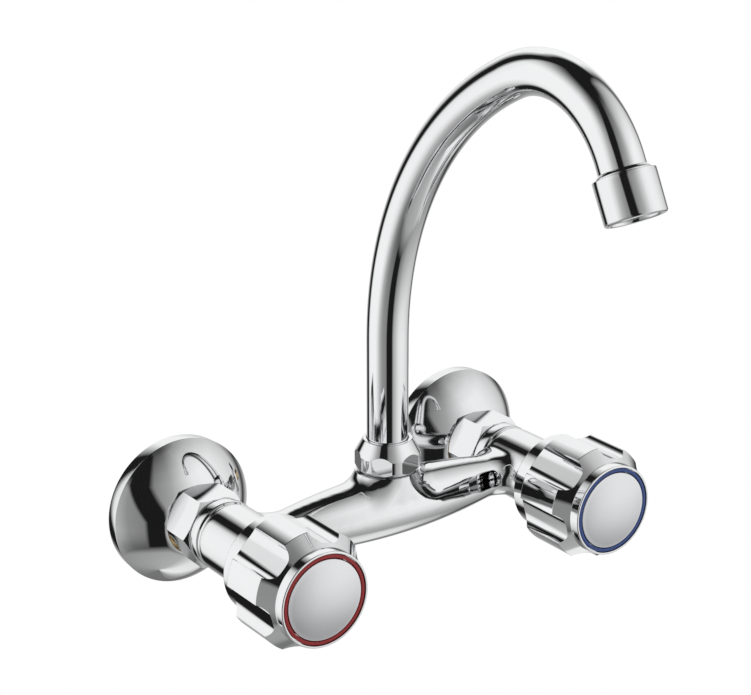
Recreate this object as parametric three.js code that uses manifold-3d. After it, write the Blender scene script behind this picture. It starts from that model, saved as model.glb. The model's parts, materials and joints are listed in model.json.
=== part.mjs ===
// Wall-mounted two-handle kitchen faucet: a cast body between two valve barrels,
// a swivelling gooseneck spout, lobed knobs, union nuts and wall flanges.
// Millimetres, +Z up. The wall is the plane y = 0 and the room lies towards -Y.
// x = 0 is half way between the two handle axes, which lie at z = 0.

import * as THREE from 'three';
import { mergeVertices } from 'three/addons/utils/BufferGeometryUtils.js';
import Module from 'manifold-3d';

const wasm = await Module();
wasm.setup();

// ---------------------------------------------------------------- driving dimensions

const gap = 0.3;                    // seat clearance between neighbouring pieces
const centreDistance = 150;         // between the hot and the cold handle axis

// wall flange: a pressed steel cup hanging on the connector
const flangeHeight = 20.7;          // wall to the front of the neck
const flangeRimRadius = 33;
const flangeRimHeight = 7.2;        // straight part of the rim
const flangeEdge = 1.8;             // rounding between the rim and the face
const flangeSheet = 1;
const flangeHem = 2.2;              // width of the rolled edge that meets the wall
const flangeFaceRadius = 18.6;      // the sloping face ends here and turns up into the neck
const flangeFaceHeight = 14.4;
const flangeNeckRadius = 16.5;
const flangeHoleRadius = 15;

// eccentric connector between the supply outlet and the union nut
const supplyThreadRadius = 10.4;    // half inch pipe thread
const supplyThreadLength = 15;      // reaches into the wall
const supplyBore = 7.2;
const connectorRadius = 13.1;       // three quarter inch pipe thread
const connectorBore = 8;
const eccentricity = 4;             // the supply outlet lies this much lower
const connectorLength = 28;         // wall to the end of the thread in the nut
const connectorBodyRadius = 17;     // thick middle, half way between the two axes
const connectorBodyBack = 7;
const connectorBodyFront = 13.4;

// union nut, its washer and the inlet tail that it draws to the connector
const unionNutAcross = 30;
const unionNutLength = 17.6;
const unionNutBackChamfer = 3.1;
const unionNutFrontChamfer = 1.2;
const unionNutCrown = 15.1;         // radius of the flat ring that the chamfers leave
const unionNutHoleRadius = 11;
const unionWasherThickness = 2;
const tailRadius = 10.7;
const tailCollarThickness = 2.4;
const tailThreadRadius = 9.6;
const tailBore = 7;
const tailThreadLength = 7.6;

// cast body
const barrelRadius = 15.3;
const barrelLength = 41;
const barrelGrooveDepth = 0.7;      // groove that sets off the round lip next to the nut
const barrelLipLength = 5.6;
const barCentreFromBack = 16.6;     // back of the barrels to the middle of the cross bar
const barMiddleRadius = 14.2;
const barEndRadius = 9.6;
const barrelFillet = 7;
const neckRadius = 13.8;
const neckHeight = 17;
const neckFillet = 7;
const spigotRadius = 11.6;
const spigotHeight = 9.5;
const waterwayRadius = 4.5;
const seatHoleRadius = 5.4;
const seatWall = 3.5;
const chamberRadius = 8.9;
const valveThreadRadius = 10.6;
const valveThreadDepth = 14;
const neckBoreRadius = 8.7;
const neckBoreDepth = 19;           // from the top of the spigot

// ceramic headwork
const sealThickness = 3.2;
const sealInnerRadius = 5.5;
const discRadius = 7.1;
const discThickness = 3;
const headworkSkirtWall = 1.2;
const gasketWidth = 1.7;
const gasketCover = 0.5;            // how far the flange of the headwork covers its gasket
const headworkFlangeRadius = valveThreadRadius + gasketWidth + gasketCover;
const headworkFlangeThickness = 2;
const headworkHexAcross = 21;
const headworkHexLength = 5;
const headworkNeckRadius = 7;
const headworkNeckLength = 2;
const gasketThickness = 1.1;
const spindleRadius = 4.4;
const spindleFootThickness = 2.5;
const spindleSquare = 6.2;
const spindleRingWidth = 2.2;
const spindleRingThickness = 1;

// knob with its screw, coloured ring and cap
const knobOverlap = 3.3;            // how far the knob reaches back over the barrel
const knobLength = 42;
const knobRadius = 25.8;
const knobRearCollarRadius = 21.5;
const knobRearCollarLength = 6.7;
const knobRearChamfer = 3.4;
const knobFrontCollarRadius = 20.4;
const knobFrontCollarLength = 4.6;
const knobFrontChamfer = 5.9;
const knobLobes = 6;
const scoopRadius = 12.5;
const scoopFloorRadius = 21.7;
const scoopAngle = 15;              // degrees from +X to the first scoop
const knobCavityRadius = 19.2;
const knobFrontWeb = 8.6;
const knobBossRadius = 7.6;
const knobBossLength = 17;
const knobSocketDepth = 14;
const capRecessRadius = 19.4;
const capRecessDepth = 3;
const capRadius = 17.3;
const capCrown = 1;
const ringOuterRadius = 19.1;
const screwRadius = 2;
const screwHeadRadius = 4;
const screwHeadHeight = 2.2;
const screwLength = 14;

// gooseneck spout
const tubeRadius = 9;
const tubeWall = 1;
const riseHeight = 76;              // the tube is straight up to here
const longArcRadius = 138.8;
const longArcAngle = 65.5;          // degrees
const shortArcRadius = 45.9;
const shortArcAngle = 87.4;
const tipStraight = 3.2;

// foot of the spout and the nut that holds it
const footCollarRadius = 10.6;
const footCollarThickness = 1.6;
const footShankRadius = 8.4;
const footShankLength = 16;
const footBore = 5.8;
const footSleeveLength = 7;
const sealRingWidth = 2.4;
const sealRingThickness = 1.3;
const upperSealDrop = 3;            // collar to the upper seal groove
const lowerSealDrop = 9.5;
const clampRingHeight = 1.3;
const spoutNutRadius = 14.3;
const spoutNutAcross = 26.7;
const spoutNutBaseHeight = 7.6;
const spoutNutConeHeight = 6.5;
const spoutNutTopRadius = 10.5;
const spoutNutFoot = 1.6;           // chamfer at the foot of the nut
const spoutNutTurn = 42;            // degrees from +X to the first flat

// aerator at the tip
const tipShoulderRadius = 10.2;
const tipShoulderLength = 1.4;
const tipSleeveLength = 3;
const tipBore = 6.4;
const tipThreadRadius = 10.5;
const tipThreadLength = 5.5;
const aeratorRadius = 11.8;
const aeratorLength = 16.6;
const aeratorLipRadius = 9.2;
const aeratorLipThickness = 1.5;
const aeratorRounding = 1.1;
const aeratorWasherThickness = 1.6;
const screenThickness = 0.8;
const screenHoleRadius = 0.75;
const screenRings = [{ radius: 2.6, holes: 3 }, { radius: 6, holes: 7 }];

// facets round a turned piece: those in plain sight, the lobed knob, those inside
const sightSides = 24;
const knobSides = 30;
const innerSides = 16;
const scoopSides = 20;
const limbSides = 14;
const filletSteps = 4;
const drillSides = 6;
const tubeSides = 20;
const boreSides = 10;
const longArcSteps = 8;
const shortArcSteps = 11;

// ---------------------------------------------------------------- stations worked out

// distances from the wall along a handle axis
const nutBack = flangeHeight + gap;
const nutFront = nutBack + unionNutLength;
const bodyBack = nutFront + gap;
const bodyFront = bodyBack + barrelLength;
const spoutDistance = bodyBack + barCentreFromBack;
const washerBack = connectorLength + gap;
const tailBack = washerBack + unionWasherThickness + gap;
const tailCollarFront = tailBack + tailCollarThickness;
const tailFront = bodyBack + tailThreadLength;
const inletBoreEnd = tailFront + gap;
const seatFace = inletBoreEnd + seatWall;
const chamberEnd = bodyFront - valveThreadDepth;

const sealFront = seatFace + gap + sealThickness;
const fixedDiscBack = sealFront + gap;
const movingDiscBack = fixedDiscBack + discThickness + gap;
const footBack = movingDiscBack + discThickness + gap;
const footFront = footBack + spindleFootThickness;
const headworkFlangeBack = bodyFront + gasketThickness + 2 * gap;
const headworkHexBack = headworkFlangeBack + headworkFlangeThickness;
const headworkNeckBack = headworkHexBack + headworkHexLength;
const headworkFront = headworkNeckBack + headworkNeckLength;

const knobBack = bodyFront - knobOverlap;
const knobFront = knobBack + knobLength;
const capRecessFloor = knobFront - capRecessDepth;
const knobWebBack = knobFront - knobFrontWeb;
const knobBossBack = knobWebBack - knobBossLength;
const knobSocketEnd = knobBossBack + knobSocketDepth;
const screwHeadSeat = capRecessFloor - screwHeadHeight - 2 * gap;
const spindleFront = knobSocketEnd - gap;

// heights along the spout axis
const spigotTop = neckHeight + spigotHeight;
const footCollarBottom = spigotTop + gap;
const footCollarTop = footCollarBottom + footCollarThickness;
const tubeBottom = footCollarTop + gap;
const tipAngle = longArcAngle + shortArcAngle;

// ---------------------------------------------------------------- geometry helpers

const radians = THREE.MathUtils.degToRad;

// Turns a closed mesh into a solid: shared corners are merged, triangles that
// collapsed on an axis are dropped, and the faces are made to point outwards.
function solid(geometry) {
  const bare = new THREE.BufferGeometry();
  bare.setAttribute('position', geometry.getAttribute('position'));
  if (geometry.index) bare.setIndex(geometry.index);
  const merged = mergeVertices(bare, 1e-4);
  const corners = merged.getAttribute('position');
  const triangles = [];
  let volume = 0;
  const [a, b, c] = [new THREE.Vector3(), new THREE.Vector3(), new THREE.Vector3()];
  for (let i = 0; i < merged.index.count; i += 3) {
    const [ia, ib, ic] = [0, 1, 2].map((k) => merged.index.getX(i + k));
    if (ia === ib || ib === ic || ic === ia) continue;
    triangles.push([ia, ib, ic]);
    a.fromBufferAttribute(corners, ia);
    b.fromBufferAttribute(corners, ib);
    c.fromBufferAttribute(corners, ic);
    volume += a.dot(b.cross(c));
  }
  if (volume < 0) triangles.forEach((triangle) => triangle.reverse());
  return new wasm.Manifold(new wasm.Mesh({
    numProp: 3,
    vertProperties: new Float32Array(corners.array),
    triVerts: new Uint32Array(triangles.flat()),
  }));
}

// Profiles are lists of [radius, station]. A profile that does not run from
// axis to axis is closed on itself.
function profilePoints(profile, direction) {
  const points = profile.map(([radius, station]) => new THREE.Vector2(radius, direction * station));
  const onAxis = profile[0][0] === 0 && profile[profile.length - 1][0] === 0;
  if (!onAxis) points.push(points[0].clone());
  return points;
}

// a turned piece on the handle axis, stations measured from the wall
function turned(profile, segments = innerSides) {
  return solid(new THREE.LatheGeometry(profilePoints(profile, -1), segments));
}

// a turned piece standing upright, stations measured upwards
function turnedUpright(profile, segments = innerSides) {
  return solid(new THREE.LatheGeometry(profilePoints(profile, 1), segments).rotateX(Math.PI / 2));
}

// a turned piece lying along X
function turnedAcross(profile, segments = innerSides) {
  return solid(new THREE.LatheGeometry(profilePoints(profile, 1), segments).rotateZ(-Math.PI / 2));
}

// a cylinder on the handle axis between two distances from the wall
function rod(radius, from, to, segments = innerSides) {
  const length = to - from;
  const cylinder = new THREE.CylinderGeometry(radius, radius, length, segments);
  return cylinder.translate(0, -(from + to) / 2, 0);
}

// a hexagon on the handle axis, with two corners level with the axis
function hexagon(across, from, to) {
  return rod(across / 2 / Math.cos(Math.PI / 6), from, to, 6).rotateY(Math.PI / 6);
}

// points of a circular arc in a profile, from one angle in degrees to another
function arc(centreRadius, centreStation, radius, from, to, steps) {
  return Array.from({ length: steps + 1 }, (_, i) => {
    const angle = radians(from + ((to - from) * i) / steps);
    return [centreRadius + radius * Math.cos(angle), centreStation + radius * Math.sin(angle)];
  });
}

// a plain ring between two radii and two stations
function ring(inner, outer, from, to) {
  return [[inner, from], [outer, from], [outer, to], [inner, to]];
}

// a polygon round a circle, as points for a shape or a hole in it
function circlePoints(radius, sides) {
  return Array.from({ length: sides }, (_, i) => {
    const angle = (2 * Math.PI * i) / sides;
    return new THREE.Vector2(radius * Math.cos(angle), radius * Math.sin(angle));
  });
}

// a mesh from a solid, with flat facets
function mesh(name, piece, material) {
  const { vertProperties, triVerts } = piece.getMesh();
  const geometry = new THREE.BufferGeometry();
  geometry.setAttribute('position', new THREE.BufferAttribute(new Float32Array(vertProperties), 3));
  geometry.setIndex(new THREE.BufferAttribute(new Uint32Array(triVerts), 1));
  geometry.computeVertexNormals();
  const result = new THREE.Mesh(geometry, material);
  result.name = name;
  return result;
}

// ---------------------------------------------------------------- materials

const metal = (color, roughness) => new THREE.MeshStandardMaterial({ color, roughness, metalness: 1 });
const plain = (color, roughness) => new THREE.MeshStandardMaterial({ color, roughness, metalness: 0 });
const materials = {
  chrome: metal(0xd9dcdf, 0.06),
  brass: metal(0xb8914a, 0.35),
  steel: metal(0xa9abad, 0.3),
  satin: metal(0xc4c6c9, 0.38),
  rubber: plain(0x1d1d1f, 0.8),
  ceramic: plain(0xefece4, 0.25),
  nylon: plain(0xe9e9e4, 0.5),
  fibre: plain(0x8a3b2c, 0.85),
  red: plain(0xa3181c, 0.35),
  blue: plain(0x23428f, 0.35),
};

// ---------------------------------------------------------------- cast body

// A quarter bend that fillets the inner corner between two round limbs. It runs
// from the X axis into the direction of `towards`, with the corner at `corner`.
class QuarterBend extends THREE.Curve {
  constructor(corner, towards, side, radius) {
    super();
    Object.assign(this, { corner, towards, side, radius });
  }

  getPoint(t, target = new THREE.Vector3()) {
    const angle = (t * Math.PI) / 2;
    target.set(this.side * this.radius * (Math.sin(angle) - 1), 0, 0);
    target.addScaledVector(this.towards, this.radius * (1 - Math.cos(angle)));
    return target.add(this.corner);
  }
}

function bend(corner, towards, side, limbRadius, fillet) {
  const path = new QuarterBend(corner, towards, side, limbRadius + fillet);
  const section = new THREE.Shape(circlePoints(limbRadius, limbSides));
  return solid(new THREE.ExtrudeGeometry(section, { extrudePath: path, steps: filletSteps }));
}

function faucetBody() {
  const halfSpan = centreDistance / 2;
  const barrelLip = bodyBack + barrelLipLength;
  const barrelProfile = [
    [0, bodyBack],
    [barrelRadius - 1, bodyBack],
    [barrelRadius, bodyBack + 1],
    [barrelRadius, barrelLip - 1],
    [barrelRadius - barrelGrooveDepth, barrelLip],
    [barrelRadius, barrelLip + 1.8],
    [barrelRadius, bodyFront],
    [0, bodyFront],
  ];

  // the cross bar swells from the barrels to the middle along one long arc
  const barReach = halfSpan - barrelRadius / 2;
  const filletStart = halfSpan - barrelRadius - barrelFillet;
  const swell = barMiddleRadius - barEndRadius;
  const swellRadius = (filletStart ** 2 + swell ** 2) / (2 * swell);
  const swellAngle = THREE.MathUtils.radToDeg(Math.asin(filletStart / swellRadius));
  const swellArc = arc(barMiddleRadius - swellRadius, 0, swellRadius, -swellAngle, swellAngle, 6);
  const bar = turnedAcross([
    [0, -barReach],
    [barEndRadius, -barReach],
    ...swellArc,
    [barEndRadius, barReach],
    [0, barReach],
  ], sightSides).translate([0, -spoutDistance, 0]);

  const limbs = [bar];
  const up = new THREE.Vector3(0, 0, 1);
  for (const side of [-1, 1]) {
    limbs.push(turned(barrelProfile, sightSides).translate([side * halfSpan, 0, 0]));

    // fillets between the bar and the barrel, in front of the bar and behind it
    for (const way of [-1, 1]) {
      const limb = barEndRadius - 0.15;
      const corner = new THREE.Vector3(side * (halfSpan - barrelRadius + limb), -spoutDistance, 0);
      limbs.push(bend(corner, new THREE.Vector3(0, way, 0), side, limb, barrelFillet));
    }

    // fillet between the bar and the neck
    const limb = neckRadius - 0.35;
    limbs.push(bend(new THREE.Vector3(0, -spoutDistance, 0), up, -side, limb, neckFillet));
  }

  // everything over the neck's top is trimmed off before the spigot is set on it
  const trimHeight = 40;
  const trim = new THREE.BoxGeometry(centreDistance, 3 * barMiddleRadius, trimHeight);
  trim.translate(0, -spoutDistance, neckHeight + trimHeight / 2);
  const neck = turnedUpright([
    [0, 0],
    [neckRadius, 0],
    [neckRadius, neckHeight],
    [0, neckHeight],
  ], sightSides).translate([0, -spoutDistance, 0]);
  const spigot = turnedUpright([
    [0, neckHeight - 1],
    [spigotRadius, neckHeight - 1],
    [spigotRadius, spigotTop - 0.8],
    [spigotRadius - 0.8, spigotTop],
    [0, spigotTop],
  ], innerSides).translate([0, -spoutDistance, 0]);
  const casting = wasm.Manifold.union([...limbs, neck]).subtract(solid(trim)).add(spigot);

  // waterways: inlet, valve seat, chamber and headwork thread in each barrel,
  // one passage across and the socket of the spout
  const over = 1;
  const passage = new THREE.CylinderGeometry(waterwayRadius, waterwayRadius, centreDistance, innerSides);
  passage.rotateZ(Math.PI / 2).translate(0, -spoutDistance, 0);
  const hollows = [solid(passage)];
  for (const side of [-1, 1]) {
    hollows.push(turned([
      [0, bodyBack - over],
      [tailThreadRadius + gap, bodyBack - over],
      [tailThreadRadius + gap, inletBoreEnd],
      [seatHoleRadius, inletBoreEnd],
      [seatHoleRadius, seatFace],
      [chamberRadius, seatFace],
      [chamberRadius, chamberEnd],
      [valveThreadRadius, chamberEnd],
      [valveThreadRadius, bodyFront + over],
      [0, bodyFront + over],
    ]).translate([side * halfSpan, 0, 0]));
  }
  hollows.push(turnedUpright([
    [0, 0],
    [waterwayRadius, 0],
    [waterwayRadius, spigotTop - neckBoreDepth],
    [neckBoreRadius, spigotTop - neckBoreDepth],
    [neckBoreRadius, spigotTop + over],
    [0, spigotTop + over],
  ]).translate([0, -spoutDistance, 0]));
  return casting.subtract(wasm.Manifold.union(hollows));
}

// ---------------------------------------------------------------- one water inlet

function wallFlange() {
  const rimFront = flangeRimHeight + flangeEdge;
  const footRise = 3;               // hollow foot of the neck
  const outer = [
    [flangeRimRadius, 0],
    ...arc(flangeRimRadius - flangeEdge, flangeRimHeight, flangeEdge, 0, 68, 3),
    [flangeFaceRadius, flangeFaceHeight],
    [(flangeFaceRadius + flangeNeckRadius) / 2, flangeFaceHeight + footRise * 0.35],
    [flangeNeckRadius, flangeFaceHeight + footRise],
    [flangeNeckRadius - 0.2, flangeHeight - 0.5],
    [flangeNeckRadius - 0.7, flangeHeight],
  ];
  const inner = [
    [flangeHoleRadius, flangeHeight],
    [flangeHoleRadius, flangeFaceHeight + footRise],
    [flangeFaceRadius - flangeSheet, flangeFaceHeight - flangeSheet],
    [flangeRimRadius - flangeSheet - flangeEdge, rimFront - flangeSheet],
    [flangeRimRadius - flangeSheet, flangeRimHeight - flangeSheet],
  ];
  const hem = [
    [flangeRimRadius - flangeSheet, 2],
    [flangeRimRadius - flangeHem, 1.2],
    [flangeRimRadius - flangeHem, 0],
  ];
  return turned([...outer, ...inner, ...hem], sightSides);
}

// The cup hangs on the connector, so it sits lower by the play of its hole.
const flangeDrop = flangeHoleRadius - connectorRadius - gap;

function connector() {
  const step = flangeHeight * 0.4;
  const supply = solid(rod(supplyThreadRadius, -supplyThreadLength, step + 2));
  const supplyHole = solid(rod(supplyBore, -supplyThreadLength - 1, step + 3));
  const end = turned([
    [0, step],
    [connectorRadius - 2, step],
    [connectorRadius, step + 2],
    [connectorRadius, connectorLength - 0.8],
    [connectorRadius - 0.8, connectorLength],
    [0, connectorLength],
  ], sightSides);
  const endHole = solid(rod(connectorBore, step + 2, connectorLength + 1));
  const body = turned([
    [0, connectorBodyBack],
    [connectorBodyRadius - 1, connectorBodyBack],
    [connectorBodyRadius, connectorBodyBack + 1],
    [connectorBodyRadius, connectorBodyFront - 1],
    [connectorBodyRadius - 1, connectorBodyFront],
    [0, connectorBodyFront],
  ], sightSides);
  const drop = [0, 0, -eccentricity];
  const whole = wasm.Manifold.union([
    supply.translate(drop),
    body.translate([0, 0, -eccentricity / 2]),
    end,
  ]);
  return whole.subtract(supplyHole.translate(drop)).subtract(endHole);
}

function unionNut() {
  const corner = unionNutAcross / 2 / Math.cos(Math.PI / 6) + 0.1;
  const chamfered = turned([
    [0, nutBack],
    [unionNutCrown, nutBack],
    [corner, nutBack + unionNutBackChamfer],
    [corner, nutFront - unionNutFrontChamfer],
    [unionNutCrown, nutFront],
    [0, nutFront],
  ], sightSides);
  const thread = connectorRadius + gap;
  const hole = turned([
    [0, nutBack - 1],
    [thread, nutBack - 1],
    [thread, tailCollarFront + gap],
    [unionNutHoleRadius, tailCollarFront + gap],
    [unionNutHoleRadius, nutFront + 1],
    [0, nutFront + 1],
  ], sightSides);
  return solid(hexagon(unionNutAcross, nutBack, nutFront)).intersect(chamfered).subtract(hole);
}

function unionWasher() {
  return turned(ring(connectorBore, connectorRadius - gap, washerBack, washerBack + unionWasherThickness));
}

function inletTail() {
  const sleeve = unionNutHoleRadius - gap < tailRadius ? unionNutHoleRadius - gap : tailRadius;
  return turned([
    [tailBore, tailBack],
    [connectorRadius - gap, tailBack],
    [connectorRadius - gap, tailCollarFront],
    [sleeve, tailCollarFront],
    [sleeve, bodyBack - gap],
    [tailThreadRadius, bodyBack - gap],
    [tailThreadRadius, tailFront],
    [tailBore, tailFront],
  ]);
}

// ---------------------------------------------------------------- one ceramic headwork

const skirtOuter = chamberRadius - gap;
const skirtInner = discRadius + gap;
const spindleBore = spindleRadius + gap;

function headwork() {
  const turnedPart = turned([
    [skirtInner, sealFront - 1.5],
    [skirtOuter, sealFront - 1.5],
    [skirtOuter, chamberEnd + gap],
    [valveThreadRadius - gap, chamberEnd + gap],
    [valveThreadRadius - gap, headworkFlangeBack],
    [headworkFlangeRadius, headworkFlangeBack],
    [headworkFlangeRadius, headworkHexBack],
    [headworkNeckRadius, headworkHexBack],
    [headworkNeckRadius, headworkFront],
    [spindleBore, headworkFront],
    [spindleBore, footFront + gap],
    [skirtInner, footFront + gap],
  ]);
  const flats = solid(hexagon(headworkHexAcross, headworkHexBack - 0.5, headworkNeckBack));
  const flatsBore = solid(rod(spindleBore + 0.05, headworkHexBack - 1, headworkNeckBack + 1));

  // two windows let the water out of the skirt, level with the moving disc
  const window = new THREE.BoxGeometry(4 * chamberRadius, discThickness + spindleFootThickness, discRadius);
  window.translate(0, -(movingDiscBack + (discThickness + spindleFootThickness) / 2), 0);
  return turnedPart.add(flats.subtract(flatsBore)).subtract(solid(window));
}

function headworkGasket() {
  const from = bodyFront + gap;
  return turned(ring(valveThreadRadius, valveThreadRadius + gasketWidth, from, from + gasketThickness));
}

function seatSeal() {
  return turned(ring(sealInnerRadius, discRadius, seatFace + gap, sealFront));
}

// a ceramic disc with a half-moon port, which a half turn brings over the other's
function ceramicDisc(from, portSide) {
  const port = new THREE.Shape();
  port.absarc(0, 0, discRadius - 2, radians(12), radians(168), false);
  const depth = discThickness + 2;
  const cutter = new THREE.ExtrudeGeometry(port, { depth, bevelEnabled: false, curveSegments: 10 });
  cutter.rotateX(Math.PI / 2).translate(0, 1 - from, 0);
  if (portSide < 0) cutter.rotateY(Math.PI);
  return solid(rod(discRadius, from, from + discThickness)).subtract(solid(cutter));
}

function spindle() {
  const groove = headworkHexBack + (headworkHexLength - spindleRingWidth) / 2;
  const grooveRadius = spindleRadius - spindleRingThickness - gap / 3;
  const shaft = turned([
    [0, footBack],
    [discRadius, footBack],
    [discRadius, footFront],
    [spindleRadius, footFront],
    [spindleRadius, groove - gap],
    [grooveRadius, groove - gap],
    [grooveRadius, groove + spindleRingWidth + gap],
    [spindleRadius, groove + spindleRingWidth + gap],
    [spindleRadius, headworkFront + gap],
    [0, headworkFront + gap],
  ]);
  const squareLength = spindleFront - headworkFront;
  const square = new THREE.BoxGeometry(spindleSquare, squareLength, spindleSquare);
  square.translate(0, -(headworkFront + squareLength / 2), 0);
  const threadHole = solid(rod(screwRadius + gap, screwHeadSeat - screwLength - gap, spindleFront + 1, 10));
  return shaft.add(solid(square)).subtract(threadHole);
}

function spindleRing() {
  const from = headworkHexBack + (headworkHexLength - spindleRingWidth) / 2;
  const inner = spindleRadius - spindleRingThickness + gap * 2 / 3;
  return turned(ring(inner, spindleBore - gap * 0.6, from, from + spindleRingWidth));
}

// ---------------------------------------------------------------- one knob

// A hollow turned knob with six scoops along its grip, so that six lobes stay.
function knob() {
  const frontChamferStart = knobFront - knobFrontCollarLength - knobFrontChamfer;
  const lip = 0.5;
  const blank = turned([
    [screwRadius + gap, screwHeadSeat],
    [screwHeadRadius + gap, screwHeadSeat],
    [screwHeadRadius + gap, capRecessFloor],
    [capRecessRadius, capRecessFloor],
    [capRecessRadius, knobFront],
    [knobFrontCollarRadius - lip, knobFront],
    [knobFrontCollarRadius, knobFront - lip],
    [knobFrontCollarRadius, knobFront - knobFrontCollarLength],
    [knobRadius, frontChamferStart],
    [knobRadius, knobBack + knobRearCollarLength + knobRearChamfer],
    [knobRearCollarRadius, knobBack + knobRearCollarLength],
    [knobRearCollarRadius, knobBack],
    [knobCavityRadius, knobBack],
    [knobCavityRadius, knobWebBack],
    [knobBossRadius, knobWebBack],
    [knobBossRadius, knobBossBack],
    [screwRadius + gap, knobBossBack],
  ], knobSides);

  const scoopCentre = scoopFloorRadius + scoopRadius;
  const scoops = Array.from({ length: knobLobes }, (_, i) => {
    const angle = radians(scoopAngle + (360 * i) / knobLobes);
    const scoop = rod(scoopRadius, knobBack - 1, knobFront + 1, scoopSides);
    scoop.translate(scoopCentre * Math.cos(angle), 0, scoopCentre * Math.sin(angle));
    return solid(scoop);
  });

  const socketSide = spindleSquare + 2 * gap;
  const socket = new THREE.BoxGeometry(socketSide, knobSocketDepth + 1, socketSide);
  socket.translate(0, -(knobSocketEnd - (knobSocketDepth + 1) / 2), 0);
  return blank.subtract(wasm.Manifold.union(scoops)).subtract(solid(socket));
}

function knobScrew() {
  const slotDepth = 1;
  const head = turned([
    [0, screwHeadSeat - screwLength],
    [screwRadius, screwHeadSeat - screwLength],
    [screwRadius, screwHeadSeat + gap],
    [screwHeadRadius, screwHeadSeat + gap],
    [screwHeadRadius, screwHeadSeat + gap + screwHeadHeight],
    [0, screwHeadSeat + gap + screwHeadHeight],
  ], 10);
  const slot = new THREE.BoxGeometry(3 * screwHeadRadius, 2 * slotDepth, 1);
  slot.translate(0, -(screwHeadSeat + gap + screwHeadHeight), 0);
  return head.subtract(solid(slot));
}

function indexRing() {
  return turned(ring(capRadius + gap, ringOuterRadius, capRecessFloor + gap, knobFront - 0.1), knobSides);
}

function indexCap() {
  const edge = knobFront - 0.3;
  const crownRadius = (capRadius ** 2 + capCrown ** 2) / (2 * capCrown);
  const spread = THREE.MathUtils.radToDeg(Math.asin(capRadius / crownRadius));
  const crown = arc(0, edge + capCrown - crownRadius, crownRadius, 90 - spread, 90, 3);
  crown[crown.length - 1][0] = 0;
  return turned([[0, capRecessFloor + gap], [capRadius, capRecessFloor + gap], ...crown], knobSides);
}

// ---------------------------------------------------------------- spout

// Centre line of the tube: straight rise, long arc, short arc, straight tip. Equal
// steps of t turn it by about equal angles, so the facets are spent on the bends.
class SpoutLine extends THREE.Curve {
  constructor() {
    super();
    this.stretches = [
      { length: riseHeight - tubeBottom, turn: 0, steps: 1 },
      { length: longArcRadius * radians(longArcAngle), turn: radians(longArcAngle), steps: longArcSteps },
      { length: shortArcRadius * radians(shortArcAngle), turn: radians(shortArcAngle), steps: shortArcSteps },
      { length: tipStraight, turn: 0, steps: 1 },
    ];
    this.steps = this.stretches.reduce((sum, stretch) => sum + stretch.steps, 0);
  }

  getUtoTmapping(u) {
    return u;
  }

  getPoint(t, target = new THREE.Vector3()) {
    let left = t * this.steps;
    let reach = 0;
    let height = tubeBottom;
    let heading = 0;
    for (const { length, turn, steps } of this.stretches) {
      const share = Math.min(left / steps, 1);
      const next = heading + share * turn;
      if (turn === 0) {
        reach += share * length * Math.sin(heading);
        height += share * length * Math.cos(heading);
      } else {
        reach += (length / turn) * (Math.cos(heading) - Math.cos(next));
        height += (length / turn) * (Math.sin(next) - Math.sin(heading));
      }
      heading = next;
      left -= steps;
      if (left <= 0) break;
    }
    return target.set(0, -reach, height);
  }
}

const spoutLine = new SpoutLine();

function spoutTube() {
  const section = new THREE.Shape(circlePoints(tubeRadius, tubeSides));
  section.holes.push(new THREE.Path(circlePoints(tubeRadius - tubeWall, boreSides).reverse()));
  return solid(new THREE.ExtrudeGeometry(section, { extrudePath: spoutLine, steps: spoutLine.steps }));
}

// The foot is soldered into the tube. Its collar stands on the spigot, and two
// seal rings in its grooves close it against the bore of the neck.
function spoutFoot() {
  const groove = footShankRadius - sealRingThickness + gap / 3;
  const grooveAt = (drop) => [
    [footShankRadius, footCollarBottom - drop],
    [groove, footCollarBottom - drop],
    [groove, footCollarBottom - drop - sealRingWidth - 2 * gap],
    [footShankRadius, footCollarBottom - drop - sealRingWidth - 2 * gap],
  ];
  const sleeve = tubeRadius - tubeWall - 1.5 * gap;
  return turnedUpright([
    [footBore, footCollarBottom - footShankLength],
    [footBore, tubeBottom + footSleeveLength],
    [sleeve, tubeBottom + footSleeveLength],
    [sleeve, footCollarTop],
    [footCollarRadius, footCollarTop],
    [footCollarRadius, footCollarBottom],
    [footShankRadius, footCollarBottom],
    ...grooveAt(upperSealDrop),
    ...grooveAt(lowerSealDrop),
    [footShankRadius, footCollarBottom - footShankLength],
  ]);
}

function spoutSealRing(drop) {
  const top = footCollarBottom - drop - gap;
  const inner = footShankRadius - sealRingThickness + gap;
  return turnedUpright(ring(inner, neckBoreRadius - gap * 0.6, top - sealRingWidth, top));
}

// split clamp ring between the collar of the foot and the cone of the nut
function clampRing() {
  const bottom = footCollarTop + gap;
  const inner = tubeRadius + gap;
  const whole = turnedUpright(ring(inner, footCollarRadius, bottom, bottom + clampRingHeight));
  const split = new THREE.BoxGeometry(2, 3 * footCollarRadius, 3 * clampRingHeight);
  split.translate(0, 1.5 * footCollarRadius, bottom);
  return whole.subtract(solid(split));
}

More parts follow.
